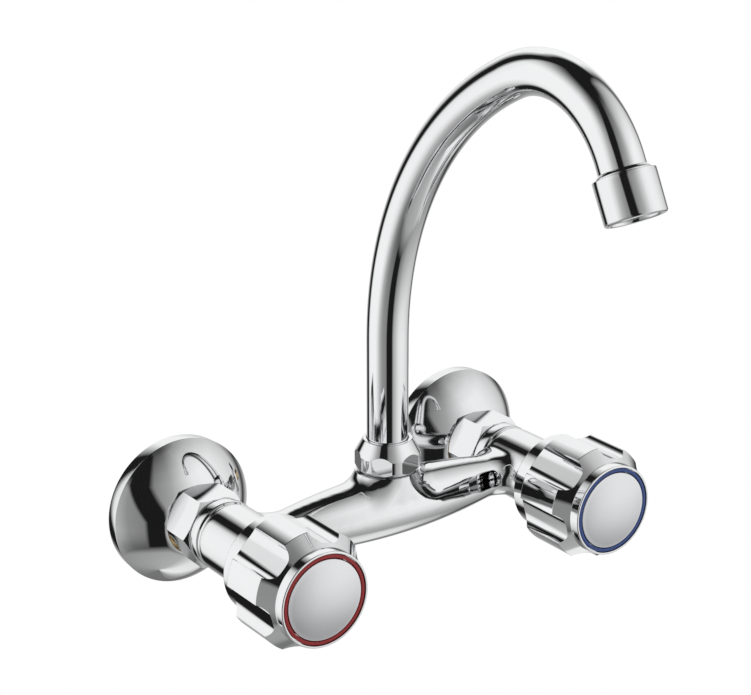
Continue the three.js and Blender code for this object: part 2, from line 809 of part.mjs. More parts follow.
// Round nut with a conical top. Six flats cut its lower part, and the cone ends
// each of them in an arch.
function spoutNut() {
  const bottom = neckHeight + gap;
  const coneStart = bottom + spoutNutBaseHeight;
  const top = coneStart + spoutNutConeHeight;
  const clampTop = footCollarTop + gap + clampRingHeight + gap;
  const bore = spigotRadius + gap;
  const opening = tubeRadius + gap;
  const blank = turnedUpright([
    [bore, bottom],
    [spoutNutRadius - spoutNutFoot, bottom],
    [spoutNutRadius, bottom + spoutNutFoot],
    [spoutNutRadius, coneStart],
    [spoutNutTopRadius, top],
    [opening, top],
    [opening, clampTop],
    [footCollarRadius + gap, clampTop],
    [footCollarRadius + gap, spigotTop],
    [bore, spigotTop],
  ], sightSides);
  const hex = new THREE.CylinderGeometry(1, 1, 2 * top, 6).rotateX(Math.PI / 2);
  const corner = spoutNutAcross / 2 / Math.cos(Math.PI / 6);
  hex.rotateZ(radians(spoutNutTurn)).scale(corner, corner, 1);
  return blank.intersect(solid(hex));
}

// ---------------------------------------------------------------- aerator

// Local frame: +Z runs back up the tube, z = 0 is the end of the tube.
const tipSleeveRadius = tubeRadius - tubeWall - 1.5 * gap;
const housingTop = -tipShoulderLength - gap;
const housingBottom = housingTop - aeratorLength;
const housingBore = tipThreadRadius + gap;
const tipThreadEnd = housingTop - tipThreadLength;

function spoutTip() {
  return turnedUpright([
    [tipBore, tipThreadEnd],
    [tipThreadRadius - 0.4, tipThreadEnd],
    [tipThreadRadius - 0.4, housingTop - 0.6],
    [tipShoulderRadius, housingTop + gap],
    [tubeRadius + 0.3, -gap],
    [tipSleeveRadius, -gap],
    [tipSleeveRadius, tipSleeveLength],
    [tipBore, tipSleeveLength],
  ], sightSides);
}

function aeratorHousing() {
  const round = arc(aeratorRadius - aeratorRounding, housingBottom + aeratorRounding, aeratorRounding, 0, -90, 2);
  return turnedUpright([
    [housingBore, housingTop],
    [aeratorRadius - 0.3, housingTop],
    [aeratorRadius, housingTop - 0.3],
    ...round,
    [aeratorLipRadius, housingBottom],
    [aeratorLipRadius, housingBottom + aeratorLipThickness],
    [housingBore, housingBottom + aeratorLipThickness],
  ], sightSides);
}

function aeratorWasher() {
  const top = tipThreadEnd - gap;
  return turnedUpright(ring(tipBore, housingBore - gap, top - aeratorWasherThickness, top));
}

const screenBottom = housingBottom + aeratorLipThickness + gap;
const screenTop = screenBottom + screenThickness;

// a solid straightener, whose flow is carried by the screen under it
function aeratorCartridge() {
  const top = tipThreadEnd - 2 * gap - aeratorWasherThickness;
  const bottom = screenTop + gap;
  const radius = housingBore - gap;
  const shell = turnedUpright([
    [0, bottom + 1.5],
    [radius - 2, bottom + 1.5],
    [radius - 2, bottom],
    [radius, bottom],
    [radius, top],
    [radius - 2.5, top],
    [radius - 2.5, top - 1.5],
    [0, top - 1.5],
  ]);
  const holes = [2.2, 5].flatMap((ringRadius, row) => {
    const count = row === 0 ? 3 : 6;
    return Array.from({ length: count }, (_, i) => {
      const angle = (2 * Math.PI * i) / count;
      const drill = new THREE.CylinderGeometry(0.6, 0.6, 4 * aeratorLength, drillSides).rotateX(Math.PI / 2);
      drill.translate(ringRadius * Math.cos(angle), ringRadius * Math.sin(angle), 0);
      return solid(drill);
    });
  });
  return shell.subtract(wasm.Manifold.union(holes));
}

function aeratorScreen() {
  const plate = turnedUpright([
    [0, screenBottom],
    [housingBore - gap, screenBottom],
    [housingBore - gap, screenTop],
    [0, screenTop],
  ]);
  const holes = screenRings.flatMap(({ radius, holes: count }) => (
    Array.from({ length: count }, (_, i) => {
      const angle = (2 * Math.PI * i) / count;
      const drill = new THREE.CylinderGeometry(screenHoleRadius, screenHoleRadius, 4 * screenThickness, drillSides);
      drill.rotateX(Math.PI / 2);
      drill.translate(radius * Math.cos(angle), radius * Math.sin(angle), screenBottom);
      return solid(drill);
    })
  ));
  return plate.subtract(wasm.Manifold.union(holes));
}

// ---------------------------------------------------------------- assembly

const faucet = new THREE.Group();
faucet.add(mesh('faucet_body', faucetBody(), materials.chrome));

// the hot side is on the left and carries the red ring, the cold side the blue one
const sides = [
  { name: 'hot', x: -centreDistance / 2, ringMaterial: materials.red },
  { name: 'cold', x: centreDistance / 2, ringMaterial: materials.blue },
];
for (const { name, x, ringMaterial } of sides) {
  const side = new THREE.Group();
  side.position.x = x;
  const flange = mesh(`wall_flange_${name}`, wallFlange(), materials.chrome);
  flange.position.z = -flangeDrop;
  side.add(
    flange,
    mesh(`connector_${name}`, connector(), materials.brass),
    mesh(`union_nut_${name}`, unionNut(), materials.chrome),
    mesh(`union_washer_${name}`, unionWasher(), materials.fibre),
    mesh(`inlet_tail_${name}`, inletTail(), materials.brass),
    mesh(`seat_seal_${name}`, seatSeal(), materials.rubber),
    mesh(`fixed_disc_${name}`, ceramicDisc(fixedDiscBack, 1), materials.ceramic),
    mesh(`moving_disc_${name}`, ceramicDisc(movingDiscBack, -1), materials.ceramic),
    mesh(`headwork_${name}`, headwork(), materials.brass),
    mesh(`headwork_gasket_${name}`, headworkGasket(), materials.rubber),
    mesh(`spindle_${name}`, spindle(), materials.brass),
    mesh(`spindle_seal_${name}`, spindleRing(), materials.rubber),
    mesh(`knob_${name}`, knob(), materials.chrome),
    mesh(`knob_screw_${name}`, knobScrew(), materials.steel),
    mesh(`index_ring_${name}`, indexRing(), ringMaterial),
    mesh(`index_cap_${name}`, indexCap(), materials.satin),
  );
  faucet.add(side);
}

const spout = new THREE.Group();
spout.position.y = -spoutDistance;
spout.add(
  mesh('spout_nut', spoutNut(), materials.chrome),
  mesh('spout_clamp_ring', clampRing(), materials.nylon),
  mesh('spout_foot', spoutFoot(), materials.brass),
  mesh('spout_seal_upper', spoutSealRing(upperSealDrop), materials.rubber),
  mesh('spout_seal_lower', spoutSealRing(lowerSealDrop), materials.rubber),
  mesh('spout_tube', spoutTube(), materials.chrome),
);

const tip = new THREE.Group();
tip.position.copy(spoutLine.getPoint(1));
tip.rotation.x = radians(tipAngle - 180);
tip.add(
  mesh('spout_tip', spoutTip(), materials.chrome),
  mesh('aerator_washer', aeratorWasher(), materials.rubber),
  mesh('aerator_cartridge', aeratorCartridge(), materials.nylon),
  mesh('aerator_screen', aeratorScreen(), materials.steel),
  mesh('aerator_housing', aeratorHousing(), materials.chrome),
);
spout.add(tip);
faucet.add(spout);

export default faucet;
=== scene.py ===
"""Looks of a wall-mounted two-handle kitchen faucet, built piece by piece.

Sizes are in millimetres and turned into metres by MM. The wall is the plane y = 0, the room
lies towards -Y, and the handle axes lie at z = 0.
"""
import json
import math

import bpy
from mathutils import Matrix, Vector


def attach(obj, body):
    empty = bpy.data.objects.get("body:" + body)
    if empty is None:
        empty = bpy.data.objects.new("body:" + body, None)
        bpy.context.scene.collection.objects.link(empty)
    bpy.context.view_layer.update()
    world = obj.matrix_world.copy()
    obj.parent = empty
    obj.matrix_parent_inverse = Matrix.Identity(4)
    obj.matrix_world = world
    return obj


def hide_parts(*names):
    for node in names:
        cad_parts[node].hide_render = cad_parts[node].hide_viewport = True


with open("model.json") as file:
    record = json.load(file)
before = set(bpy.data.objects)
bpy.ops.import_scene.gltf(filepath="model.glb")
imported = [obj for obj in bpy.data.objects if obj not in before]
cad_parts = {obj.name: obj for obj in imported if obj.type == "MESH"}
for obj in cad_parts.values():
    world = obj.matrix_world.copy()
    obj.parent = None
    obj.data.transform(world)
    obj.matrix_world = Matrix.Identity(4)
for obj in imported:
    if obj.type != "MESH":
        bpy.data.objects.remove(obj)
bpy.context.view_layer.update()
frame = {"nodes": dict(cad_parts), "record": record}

# ---------------------------------------------------------------------------
# Studio: a white floor, a dark room that polished faces mirror, with soft boxes,
# a backdrop and a table, one broad lamp overhead, and the camera at the
# photograph's place.
# ---------------------------------------------------------------------------
MM = 0.001
FLOOR_DROP = 0.42
VIEW_AZIMUTH = math.radians(35.19)
VIEW_ELEVATION = math.radians(19.18)
VIEW_ROLL = math.radians(-0.11)
CAMERA_PLACE = (-0.46888, -0.71150, 0.35255)
FOCAL_PIXELS = 2008.1
IMAGE_WIDTH = 751

camera_data = bpy.data.cameras.new("photo_camera")
camera_data.sensor_width = 36
camera_data.lens = FOCAL_PIXELS * camera_data.sensor_width / IMAGE_WIDTH
camera = bpy.data.objects.new("photo_camera", camera_data)
bpy.context.scene.collection.objects.link(camera)
camera.matrix_world = (
    Matrix.Translation(CAMERA_PLACE)
    @ Matrix.Rotation(-VIEW_AZIMUTH, 4, "Z")
    @ Matrix.Rotation(math.pi / 2 - VIEW_ELEVATION, 4, "X")
    @ Matrix.Rotation(VIEW_ROLL, 4, "Z")
)
bpy.context.scene.camera = camera
bpy.context.scene.view_settings.view_transform = "Standard"


def node(tree, kind, **settings):
    """Adds a node. Settings that name an input give its value, the others its properties."""
    made = tree.nodes.new(kind)
    for key, value in settings.items():
        if key in made.inputs:
            made.inputs[key].default_value = value
        else:
            setattr(made, key, value)
    return made


def math_node(tree, operation, *values):
    """Adds a maths node whose inputs are sockets or numbers, and returns its output."""
    made = node(tree, "ShaderNodeMath", operation=operation)
    for socket, value in zip(made.inputs, values):
        if isinstance(value, (int, float)):
            socket.default_value = value
        else:
            tree.links.new(value, socket)
    return made.outputs[0]


def ramp_node(tree, factor, stops):
    """Adds a ramp of grey levels at the given places and returns its output."""
    made = node(tree, "ShaderNodeValToRGB")
    tree.links.new(factor, made.inputs[0])
    elements = made.color_ramp.elements
    while len(elements) < len(stops):
        elements.new(1)
    for element, (place, level) in zip(elements, stops):
        element.position = place
        element.color = (level, level, level, 1)
    return made.outputs[0]


def studio_world():
    """White to the camera and plain grey to matt surfaces. To polished ones it is a dark
    room with a soft box on each side of the camera, a lit backdrop behind the object and a
    pale table below it."""
    world = bpy.data.worlds.new("studio")
    bpy.context.scene.world = world
    world.use_nodes = True
    tree = world.node_tree
    tree.nodes.clear()
    coordinates = node(tree, "ShaderNodeTexCoord")
    turned_round = node(tree, "ShaderNodeMapping", vector_type="VECTOR")
    turned_round.inputs["Rotation"].default_value = (0, 0, VIEW_AZIMUTH)
    tree.links.new(coordinates.outputs["Generated"], turned_round.inputs["Vector"])
    axes = node(tree, "ShaderNodeSeparateXYZ")
    tree.links.new(turned_round.outputs[0], axes.inputs[0])
    right, away, up = axes.outputs

    # 0.5 is behind the camera, and 0 and 1 meet straight behind the object
    towards = math_node(tree, "MULTIPLY", away, -1.0)
    bearing = math_node(tree, "ARCTAN2", right, towards)
    round_the_room = math_node(tree, "MULTIPLY_ADD", bearing, 0.5 / math.pi, 0.5)
    height = math_node(tree, "MULTIPLY_ADD", up, 0.5, 0.5)

    def by_bearing(stops, place=round_the_room):
        """Light levels at bearings in degrees: 0 is behind the camera, plus to its right."""
        return ramp_node(tree, place, [(0.5 + degrees / 360, level) for degrees, level in stops])

    def by_height(stops):
        """Light levels at heights in degrees over the horizon."""
        return ramp_node(tree, height, [
            (0.5 + 0.5 * math.sin(math.radians(degrees)), level) for degrees, level in stops])

    left_box = math_node(
        tree, "MULTIPLY",
        by_bearing([(-126, 0.0), (-118, 0.9), (-108, 1.0), (-70, 1.0), (-58, 0.82),
                    (-46, 0.52), (-30, 0.31), (0, 0.22), (10, 0.0)]),
        by_height([(-80, 0.26), (-58, 0.36), (-46, 0.52), (-36, 0.82), (-26, 1.0),
                   (24, 1.0), (34, 0.8), (46, 0.44), (58, 0.14), (66, 0.0)]))
    right_box = math_node(
        tree, "MULTIPLY",
        by_bearing([(-12, 0.0), (-6, 0.18), (28, 0.42), (44, 0.66), (60, 0.92),
                    (76, 1.0), (96, 0.98), (116, 0.84), (134, 0.66), (147, 0.0)]),
        by_height([(-78, 0.13), (-58, 0.34), (-42, 0.52), (-28, 0.84), (-14, 1.0),
                   (32, 1.0), (46, 0.84), (60, 0.58), (70, 0.36), (84, 0.0)]))
    # the camera stands in a dark gap between the boxes, which leans to the left as it rises
    full_lean = 26 / 360
    lean = math_node(tree, "MULTIPLY", by_height([(-14, 0.0), (30, 1.0)]), full_lean)
    leaning = math_node(tree, "ADD", round_the_room, lean)
    gap = by_bearing([(-9, 1.0), (-4, 0.0), (22, 0.0), (30, 1.0)], leaning)
    boxes = math_node(tree, "MULTIPLY", math_node(tree, "MAXIMUM", left_box, right_box), gap)
    backdrop = math_node(
        tree, "MULTIPLY",
        by_bearing([(-160, 1.0), (-141, 0.0), (146, 0.0), (162, 1.0)]),
        by_height([(-58, 0.1), (-34, 0.4), (-12, 0.62), (12, 1.0), (40, 1.0), (52, 0.0)]))
    # the pale table shines from below, most of all beyond the object on the right
    table = math_node(
        tree, "MULTIPLY",
        by_bearing([(-150, 0.2), (-60, 0.36), (60, 0.5), (110, 0.9), (150, 0.95), (176, 0.3)]),
        by_height([(-74, 1.0), (-58, 0.9), (-47, 0.0)]))
    darkest_level = 0.012
    room = math_node(tree, "MAXIMUM", boxes, backdrop)
    room = math_node(tree, "MAXIMUM", room, table)
    room = math_node(tree, "MAXIMUM", room, darkest_level)

    path = node(tree, "ShaderNodeLightPath")
    matt_level = 0.75
    seen = math_node(tree, "MAXIMUM", path.outputs["Is Glossy Ray"],
                     path.outputs["Is Transmission Ray"])
    level = math_node(tree, "MULTIPLY", seen, math_node(tree, "SUBTRACT", room, matt_level))
    level = math_node(tree, "ADD", level, matt_level)
    level = math_node(tree, "MAXIMUM", level, path.outputs["Is Camera Ray"])
    background = node(tree, "ShaderNodeBackground", Color=(1, 1, 1, 1))
    tree.links.new(level, background.inputs["Strength"])
    output = node(tree, "ShaderNodeOutputWorld")
    tree.links.new(background.outputs[0], output.inputs["Surface"])


def floor_material():
    """White to the camera and pale to everything else."""
    made = bpy.data.materials.new("white_floor")
    made.use_nodes = True
    tree = made.node_tree
    tree.nodes.clear()
    matt = node(tree, "ShaderNodeBsdfDiffuse", Color=(0.82, 0.82, 0.83, 1))
    white = node(tree, "ShaderNodeEmission", Strength=1.0)
    path = node(tree, "ShaderNodeLightPath")
    mix = node(tree, "ShaderNodeMixShader")
    tree.links.new(path.outputs["Is Camera Ray"], mix.inputs[0])
    tree.links.new(matt.outputs[0], mix.inputs[1])
    tree.links.new(white.outputs[0], mix.inputs[2])
    output = node(tree, "ShaderNodeOutputMaterial")
    tree.links.new(mix.outputs[0], output.inputs["Surface"])
    return made


studio_world()
bpy.ops.object.select_all(action="DESELECT")
bpy.ops.mesh.primitive_plane_add(size=12, location=(0, 0, -FLOOR_DROP))
floor = bpy.context.object
floor.name = "floor"
floor.data.materials.append(floor_material())
floor.visible_glossy = False

lamp_data = bpy.data.lights.new("overhead_lamp", "AREA")
lamp_data.size = 1.6
lamp_data.energy = 9
lamp = bpy.data.objects.new("overhead_lamp", lamp_data)
lamp.location = (-0.3, -0.9, 1.6)
lamp.rotation_euler = (-lamp.location).to_track_quat("-Z", "Y").to_euler()
lamp.visible_glossy = False
bpy.context.scene.collection.objects.link(lamp)

# ---------------------------------------------------------------------------
# Wall flanges: pressed steel cups, chromed, one over each supply outlet. Each
# hangs on its connector and is held against the wall by the union nut.
# ---------------------------------------------------------------------------
HALF_SPAN = 75.0
SIDES = {"hot": -HALF_SPAN, "cold": HALF_SPAN}
GAP = 0.3                           # clearance between neighbouring pieces
FLANGE_RADIUS = 33.0
FLANGE_HEIGHT = 20.7
FLANGE_HOLE = 15.0
FLANGE_RIM = 6.6                    # height of the straight rim
FLANGE_SHEET = 1.0
FLANGE_HEM = 2.2                    # width of the rolled edge that meets the wall
FLANGE_DROP = 1.6                   # the hole is wider than the connector, so the cup hangs


def work_on(piece):
    """Selects this piece alone, in object mode, and makes it the active one."""
    if bpy.context.object and bpy.context.object.mode != "OBJECT":
        bpy.ops.object.mode_set(mode="OBJECT")
    bpy.ops.object.select_all(action="DESELECT")
    piece.select_set(True)
    bpy.context.view_layer.objects.active = piece


def softened(profile):
    """Rounds the corners of a profile. A point is (radius, height) or, with its corner
    radius, (radius, height, corner)."""
    steps = 4
    points = [Vector(point[:2]) for point in profile]
    corners = [point[2] if len(point) > 2 else 0 for point in profile]
    result = []
    for i, (point, corner) in enumerate(zip(points, corners)):
        if not corner:
            result.append(point)
            continue
        back = (points[i - 1] - point).normalized()
        forward = (points[(i + 1) % len(points)] - point).normalized()
        half = back.angle(forward) / 2
        reach = corner / math.tan(half)
        centre = point + (back + forward).normalized() * (corner / math.sin(half))
        first = point + back * reach - centre
        last = point + forward * reach - centre
        sweep = first.angle_signed(last)
        for k in range(steps + 1):
            turn = Matrix.Rotation(-sweep * k / steps, 2)
            result.append(centre + turn @ first)
    return [(point.x, point.y) for point in result]


def turned_piece(name, profile, sides=96):
    """Turns a piece on the lathe: a circle is drawn out ring by ring along the profile,
    in mm. The profile closes on itself, or on the axis where it starts and ends there.
    On the axis a ring has the least radius, and merging closes it to a point."""
    least = 0.001
    rings = [(max(radius, least), height) for radius, height in profile]
    if profile[0][0] > 0:
        rings.append(rings[0])
    radius, height = rings[0]
    bpy.ops.object.select_all(action="DESELECT")
    bpy.ops.mesh.primitive_circle_add(
        vertices=sides, radius=radius * MM, fill_type="NOTHING", location=(0, 0, 0))
    piece = bpy.context.object
    piece.name = name
    bpy.ops.object.mode_set(mode="EDIT")
    bpy.ops.mesh.select_all(action="SELECT")
    bpy.ops.transform.translate(value=(0, 0, height * MM))
    for next_radius, next_height in rings[1:]:
        bpy.ops.mesh.extrude_region_move(
            TRANSFORM_OT_translate={"value": (0, 0, (next_height - height) * MM)})
        grow = next_radius / radius
        bpy.ops.transform.resize(
            value=(grow, grow, 1), center_override=(0, 0, next_height * MM))
        radius, height = next_radius, next_height
    bpy.ops.mesh.select_all(action="SELECT")
    bpy.ops.mesh.remove_doubles(threshold=4 * least * MM)
    bpy.ops.mesh.normals_make_consistent(inside=False)
    bpy.ops.object.mode_set(mode="OBJECT")
    return piece


def put(piece, place=(0, 0, 0), turn=(0, 0, 0)):
    """Turns a piece and moves it, in mm, and leaves its object at the origin."""
    work_on(piece)
    piece.rotation_euler = turn
    piece.location = Vector(place) * MM
    bpy.ops.object.transform_apply(location=True, rotation=True, scale=True)
    return piece


OUT_OF_WALL = (math.pi / 2, 0, 0)


def apply_modifier(piece, kind, **settings):
    """Adds a modifier and applies it at once."""
    work_on(piece)
    modifier = piece.modifiers.new(kind.lower(), kind)
    for key, value in settings.items():
        setattr(modifier, key, value)
    bpy.ops.object.modifier_apply(modifier=modifier.name)


def smooth(piece, degrees, flats=False):
    """Shades a piece smooth up to an angle. With flats, its broad faces stay flat and only
    the narrow ones between them turn."""
    work_on(piece)
    bpy.ops.object.shade_smooth_by_angle(angle=math.radians(degrees))
    if flats:
        apply_modifier(piece, "WEIGHTED_NORMAL", weight=100, keep_sharp=True)


def copy_of(piece, name, shift):
    """A copy with its own mesh, moved by a shift in mm."""
    made = piece.copy()
    made.data = piece.data.copy()
    made.name = name
    bpy.context.scene.collection.objects.link(made)
    return put(made, shift)


def finish_piece(piece, material, slot, body, *nodes):
    """Gives a piece its material and its place in the model, instead of the plain solids."""
    piece.data.materials.clear()
    piece.data.materials.append(material)
    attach(piece, body)
    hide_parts(*nodes)


def surface_group():
    """Node group with the marks that making and handling leave on a surface."""
    group = bpy.data.node_groups.new("surface_marks", "ShaderNodeTree")
    details = {"Ripple": 1.0, "Haze": 5.0, "Grain": 2.0}
    for name in details:
        for socket, way in ((name + " Scale", "INPUT"), (name, "OUTPUT")):
            group.interface.new_socket(socket, in_out=way, socket_type="NodeSocketFloat")
    inputs = node(group, "NodeGroupInput")
    outputs = node(group, "NodeGroupOutput")
    coordinates = node(group, "ShaderNodeTexCoord")
    for name, detail in details.items():
        noise = node(group, "ShaderNodeTexNoise", Detail=detail)
        group.links.new(coordinates.outputs["Object"], noise.inputs["Vector"])
        group.links.new(inputs.outputs[name + " Scale"], noise.inputs["Scale"])
        group.links.new(noise.outputs[0], outputs.inputs[name])
    return group


surface_marks = surface_group()


def finish_material(name, colour, dark, roughness, metallic, scales, ripple=0.0, grain=0.0,
                    coat=0.0):
    """A finish whose colour and roughness drift with its haze, over a faint relief.

    roughness is (clean, hazy); scales are those of ripple, haze and grain, per metre;
    ripple and grain are heights in mm."""
    made = bpy.data.materials.new(name)
    made.use_nodes = True
    tree = made.node_tree
    shader = tree.nodes["Principled BSDF"]
    shader.inputs["Metallic"].default_value = metallic
    shader.inputs["Coat Weight"].default_value = coat
    marks = node(tree, "ShaderNodeGroup", node_tree=surface_marks)
    for socket, value in zip(marks.inputs, scales):
        socket.default_value = value
    # the node has sockets for every kind of value, and these are the ones for colours
    first_colour, second_colour, mixed_colour = 6, 7, 2
    tone = node(tree, "ShaderNodeMix", data_type="RGBA")
    tone.inputs[first_colour].default_value = (*colour, 1)
    tone.inputs[second_colour].default_value = (*dark, 1)
    tree.links.new(marks.outputs["Haze"], tone.inputs["Factor"])
    tree.links.new(tone.outputs[mixed_colour], shader.inputs["Base Color"])
    clean, hazy = roughness
    rough = node(tree, "ShaderNodeMapRange", **{
        "From Min": 0.35, "From Max": 0.7, "To Min": clean, "To Max": hazy})
    tree.links.new(marks.outputs["Haze"], rough.inputs["Value"])
    tree.links.new(rough.outputs[0], shader.inputs["Roughness"])
    normal = None
    for output, height in (("Ripple", ripple), ("Grain", grain)):
        if not height:
            continue
        bump = node(tree, "ShaderNodeBump", Strength=1.0, Distance=height * MM)
        tree.links.new(marks.outputs[output], bump.inputs["Height"])
        if normal:
            tree.links.new(normal, bump.inputs["Normal"])
        normal = bump.outputs[0]
    if normal:
        tree.links.new(normal, shader.inputs["Normal"])
    return made


pressed_chrome = finish_material(
    "pressed_chrome", (0.87, 0.875, 0.88), (0.8, 0.805, 0.815), (0.035, 0.08), 1.0,
    (34, 15, 900), ripple=0.12)

# the face is a dome: it leaves the rim steeply and flattens out towards the nut
RIM_SLOPE = math.radians(55)
THROAT_SLOPE = math.radians(24)
THROAT_RADIUS = 16.6
face_edge = Vector((FLANGE_RADIUS - 0.15, FLANGE_RIM + 0.2))
face_sweep = (face_edge.x - THROAT_RADIUS) / (math.sin(RIM_SLOPE) - math.sin(THROAT_SLOPE))
face_centre = face_edge - face_sweep * Vector((math.sin(RIM_SLOPE), math.cos(RIM_SLOPE)))


def face_curve(radius, steps):
    """Points of the face from the rim to the throat, at a radius from its centre."""
    slopes = [RIM_SLOPE + (THROAT_SLOPE - RIM_SLOPE) * k / steps for k in range(steps + 1)]
    return [tuple(face_centre + radius * Vector((math.sin(slope), math.cos(slope))))
            for slope in slopes]


flange_inside = FLANGE_RADIUS - FLANGE_SHEET
flange = turned_piece("wall_flange_shell", softened([
    (FLANGE_RADIUS - FLANGE_HEM, 0), (FLANGE_RADIUS - 0.4, 0, 0.4),
    (FLANGE_RADIUS, FLANGE_RIM, 0.5), *face_curve(face_sweep, 16),
    (FLANGE_HOLE, FLANGE_HEIGHT, 0.3), (FLANGE_HOLE + 0.1, FLANGE_HEIGHT - 1.9),
    *face_curve(face_sweep - FLANGE_SHEET, 8)[::-1],
    (flange_inside, FLANGE_RIM - 0.7), (flange_inside, 1.6, 0.4),
    (FLANGE_RADIUS - FLANGE_HEM, 1.2, 0.4),
]), sides=128)
smooth(flange, 40)
put(flange, (0, 0, -FLANGE_DROP), OUT_OF_WALL)
for side, x in SIDES.items():
    shell = copy_of(flange, f"flange_{side}", (x, 0, 0))
    finish_piece(shell, pressed_chrome, "chrome", "faucet", f"wall_flange_{side}")
bpy.data.objects.remove(flange)

# ---------------------------------------------------------------------------
# Union nuts: chromed brass hexagons that draw the body to its connectors. They
# are turned with a chamfer at each end and then milled with six flats.
# ---------------------------------------------------------------------------
UNION_ACROSS = 30.0
UNION_BACK = 21.0
UNION_FRONT = 38.6
UNION_BLANK = 17.6                  # radius before the flats are milled
UNION_THREAD = 13.4
UNION_HOLE = 11.0
UNION_SEAT = 33.3                   # the washer's side of the web round the hole


def milled(piece, across, first_angle):
    """Mills six flats on a piece that stands on the Z axis."""
    work_on(piece)
    bpy.ops.object.mode_set(mode="EDIT")
    for k in range(6):
        angle = first_angle + k * math.pi / 3
        facing = Vector((math.cos(angle), math.sin(angle), 0))
        bpy.ops.mesh.select_all(action="SELECT")
        bpy.ops.mesh.bisect(
            plane_co=facing * across / 2 * MM, plane_no=facing,
            use_fill=True, clear_outer=True)
    bpy.ops.mesh.select_all(action="SELECT")
    bpy.ops.mesh.remove_doubles(threshold=0.002 * MM)
    bpy.ops.mesh.normals_make_consistent(inside=False)
    bpy.ops.object.mode_set(mode="OBJECT")


cast_chrome = finish_material(
    "cast_chrome", (0.88, 0.885, 0.89), (0.82, 0.825, 0.835), (0.03, 0.07), 1.0,
    (30, 14, 900), ripple=0.08)

union_nut = turned_piece("union_nut_blank", softened([
    (UNION_THREAD, UNION_BACK), (15.1, UNION_BACK, 0.3), (UNION_BLANK, UNION_BACK + 3.1, 0.3),
    (UNION_BLANK, UNION_FRONT - 1.2, 0.3), (15.2, UNION_FRONT, 0.4), (UNION_HOLE, UNION_FRONT),
    (UNION_HOLE, UNION_SEAT), (UNION_THREAD, UNION_SEAT),
]), sides=120)
milled(union_nut, UNION_ACROSS, math.pi / 2)
apply_modifier(union_nut, "BEVEL", width=0.35 * MM, segments=3, limit_method="ANGLE",
               angle_limit=math.radians(24))
smooth(union_nut, 30, flats=True)
put(union_nut, turn=OUT_OF_WALL)
for side, x in SIDES.items():
    nut = copy_of(union_nut, f"coupling_nut_{side}", (x, 0, 0))
    finish_piece(nut, cast_chrome, "chrome", "faucet", f"union_nut_{side}")
bpy.data.objects.remove(union_nut)

# ---------------------------------------------------------------------------
# Body: one brass casting with both valve barrels, the swelling cross bar and the
# neck of the spout. It is ground, polished and chromed, so its joins are soft.
# ---------------------------------------------------------------------------
BARREL_RADIUS = 15.3
BODY_BACK = 38.9
BODY_FRONT = 79.9
GROOVE_OUT = 45.4                   # front of the groove that sets off the lip
GROOVE_RADIUS = 14.5
BORE_BACK = 40.0
BORE_FRONT = 82.0
INLET_THREAD = 9.9
INLET_END = 46.8
SEAT_HOLE = 5.4
SEAT_OUT = 50.3                     # the ceramic valve stands on the seat from here
CHAMBER_RADIUS = 8.9
VALVE_THREAD = 10.6
VALVE_THREAD_END = 65.9
BAR_OUT = 55.5
BAR_MIDDLE = 14.2                   # radii of the cross bar
BAR_END = 9.6
BAR_HALF_LENGTH = 66.0              # it ends inside the barrels
BARREL_FILLET = 7.0
NECK_RADIUS = 13.8
NECK_TOP = 17.0
NECK_FILLET = 7.0
NECK_BORE = 8.7
SPIGOT_RADIUS = 11.6
SPIGOT_TOP = 26.5
CASTING_VOXEL = 0.6


def merged(name, pieces):
    """Joins pieces into one object."""
    work_on(pieces[0])
    for piece in pieces[1:]:
        piece.select_set(True)
    bpy.ops.object.join()
    bpy.context.object.name = name
    return bpy.context.object


def elbow(radius, fillet, corner, side, towards):
    """A quarter bend of round bar that leads from the cross bar round a corner, in mm. It
    starts along X on the given side and ends along the direction towards."""
    sweep = radius + fillet
    heading = Vector((side, 0, 0))
    start = Vector(corner) - heading * sweep
    bpy.ops.object.select_all(action="DESELECT")
    bpy.ops.mesh.primitive_circle_add(
        vertices=64, radius=radius * MM, fill_type="NGON", location=(0, 0, 0))
    piece = put(bpy.context.object, start, (0, math.pi / 2, 0))
    bpy.ops.object.mode_set(mode="EDIT")
    bpy.ops.mesh.select_all(action="SELECT")
    bpy.ops.mesh.spin(
        steps=24, angle=math.pi / 2, center=(start + Vector(towards) * sweep) * MM,
        axis=Vector(towards).cross(heading))
    bpy.ops.mesh.select_all(action="SELECT")
    bpy.ops.mesh.normals_make_consistent(inside=False)
    bpy.ops.object.mode_set(mode="OBJECT")
    return piece


def cut_away(piece, cutter):
    """Cuts one closed shape out of another and throws the cutter away."""
    apply_modifier(piece, "BOOLEAN", operation="DIFFERENCE", object=cutter, solver="EXACT")
    bpy.data.objects.remove(cutter)


bar_reach = HALF_SPAN - BARREL_RADIUS - BARREL_FILLET
swell = BAR_MIDDLE - BAR_END
swell_radius = (bar_reach ** 2 + swell ** 2) / (2 * swell)
swell_centre = BAR_MIDDLE - swell_radius
bar_steps = 24
bar_profile = [(0, -BAR_HALF_LENGTH), (BAR_END, -BAR_HALF_LENGTH)]
for k in range(-bar_steps, bar_steps + 1):
    along = bar_reach * k / bar_steps
    bar_profile.append((swell_centre + math.sqrt(swell_radius ** 2 - along ** 2), along))
bar_profile += [(BAR_END, BAR_HALF_LENGTH), (0, BAR_HALF_LENGTH)]
bar = put(turned_piece("bar", bar_profile), (0, -BAR_OUT, 0), (0, math.pi / 2, 0))
neck = turned_piece("neck", [(0, 0), (NECK_RADIUS, 0), (NECK_RADIUS, NECK_TOP), (0, NECK_TOP)])
casting_parts = [bar, put(neck, (0, -BAR_OUT, 0))]
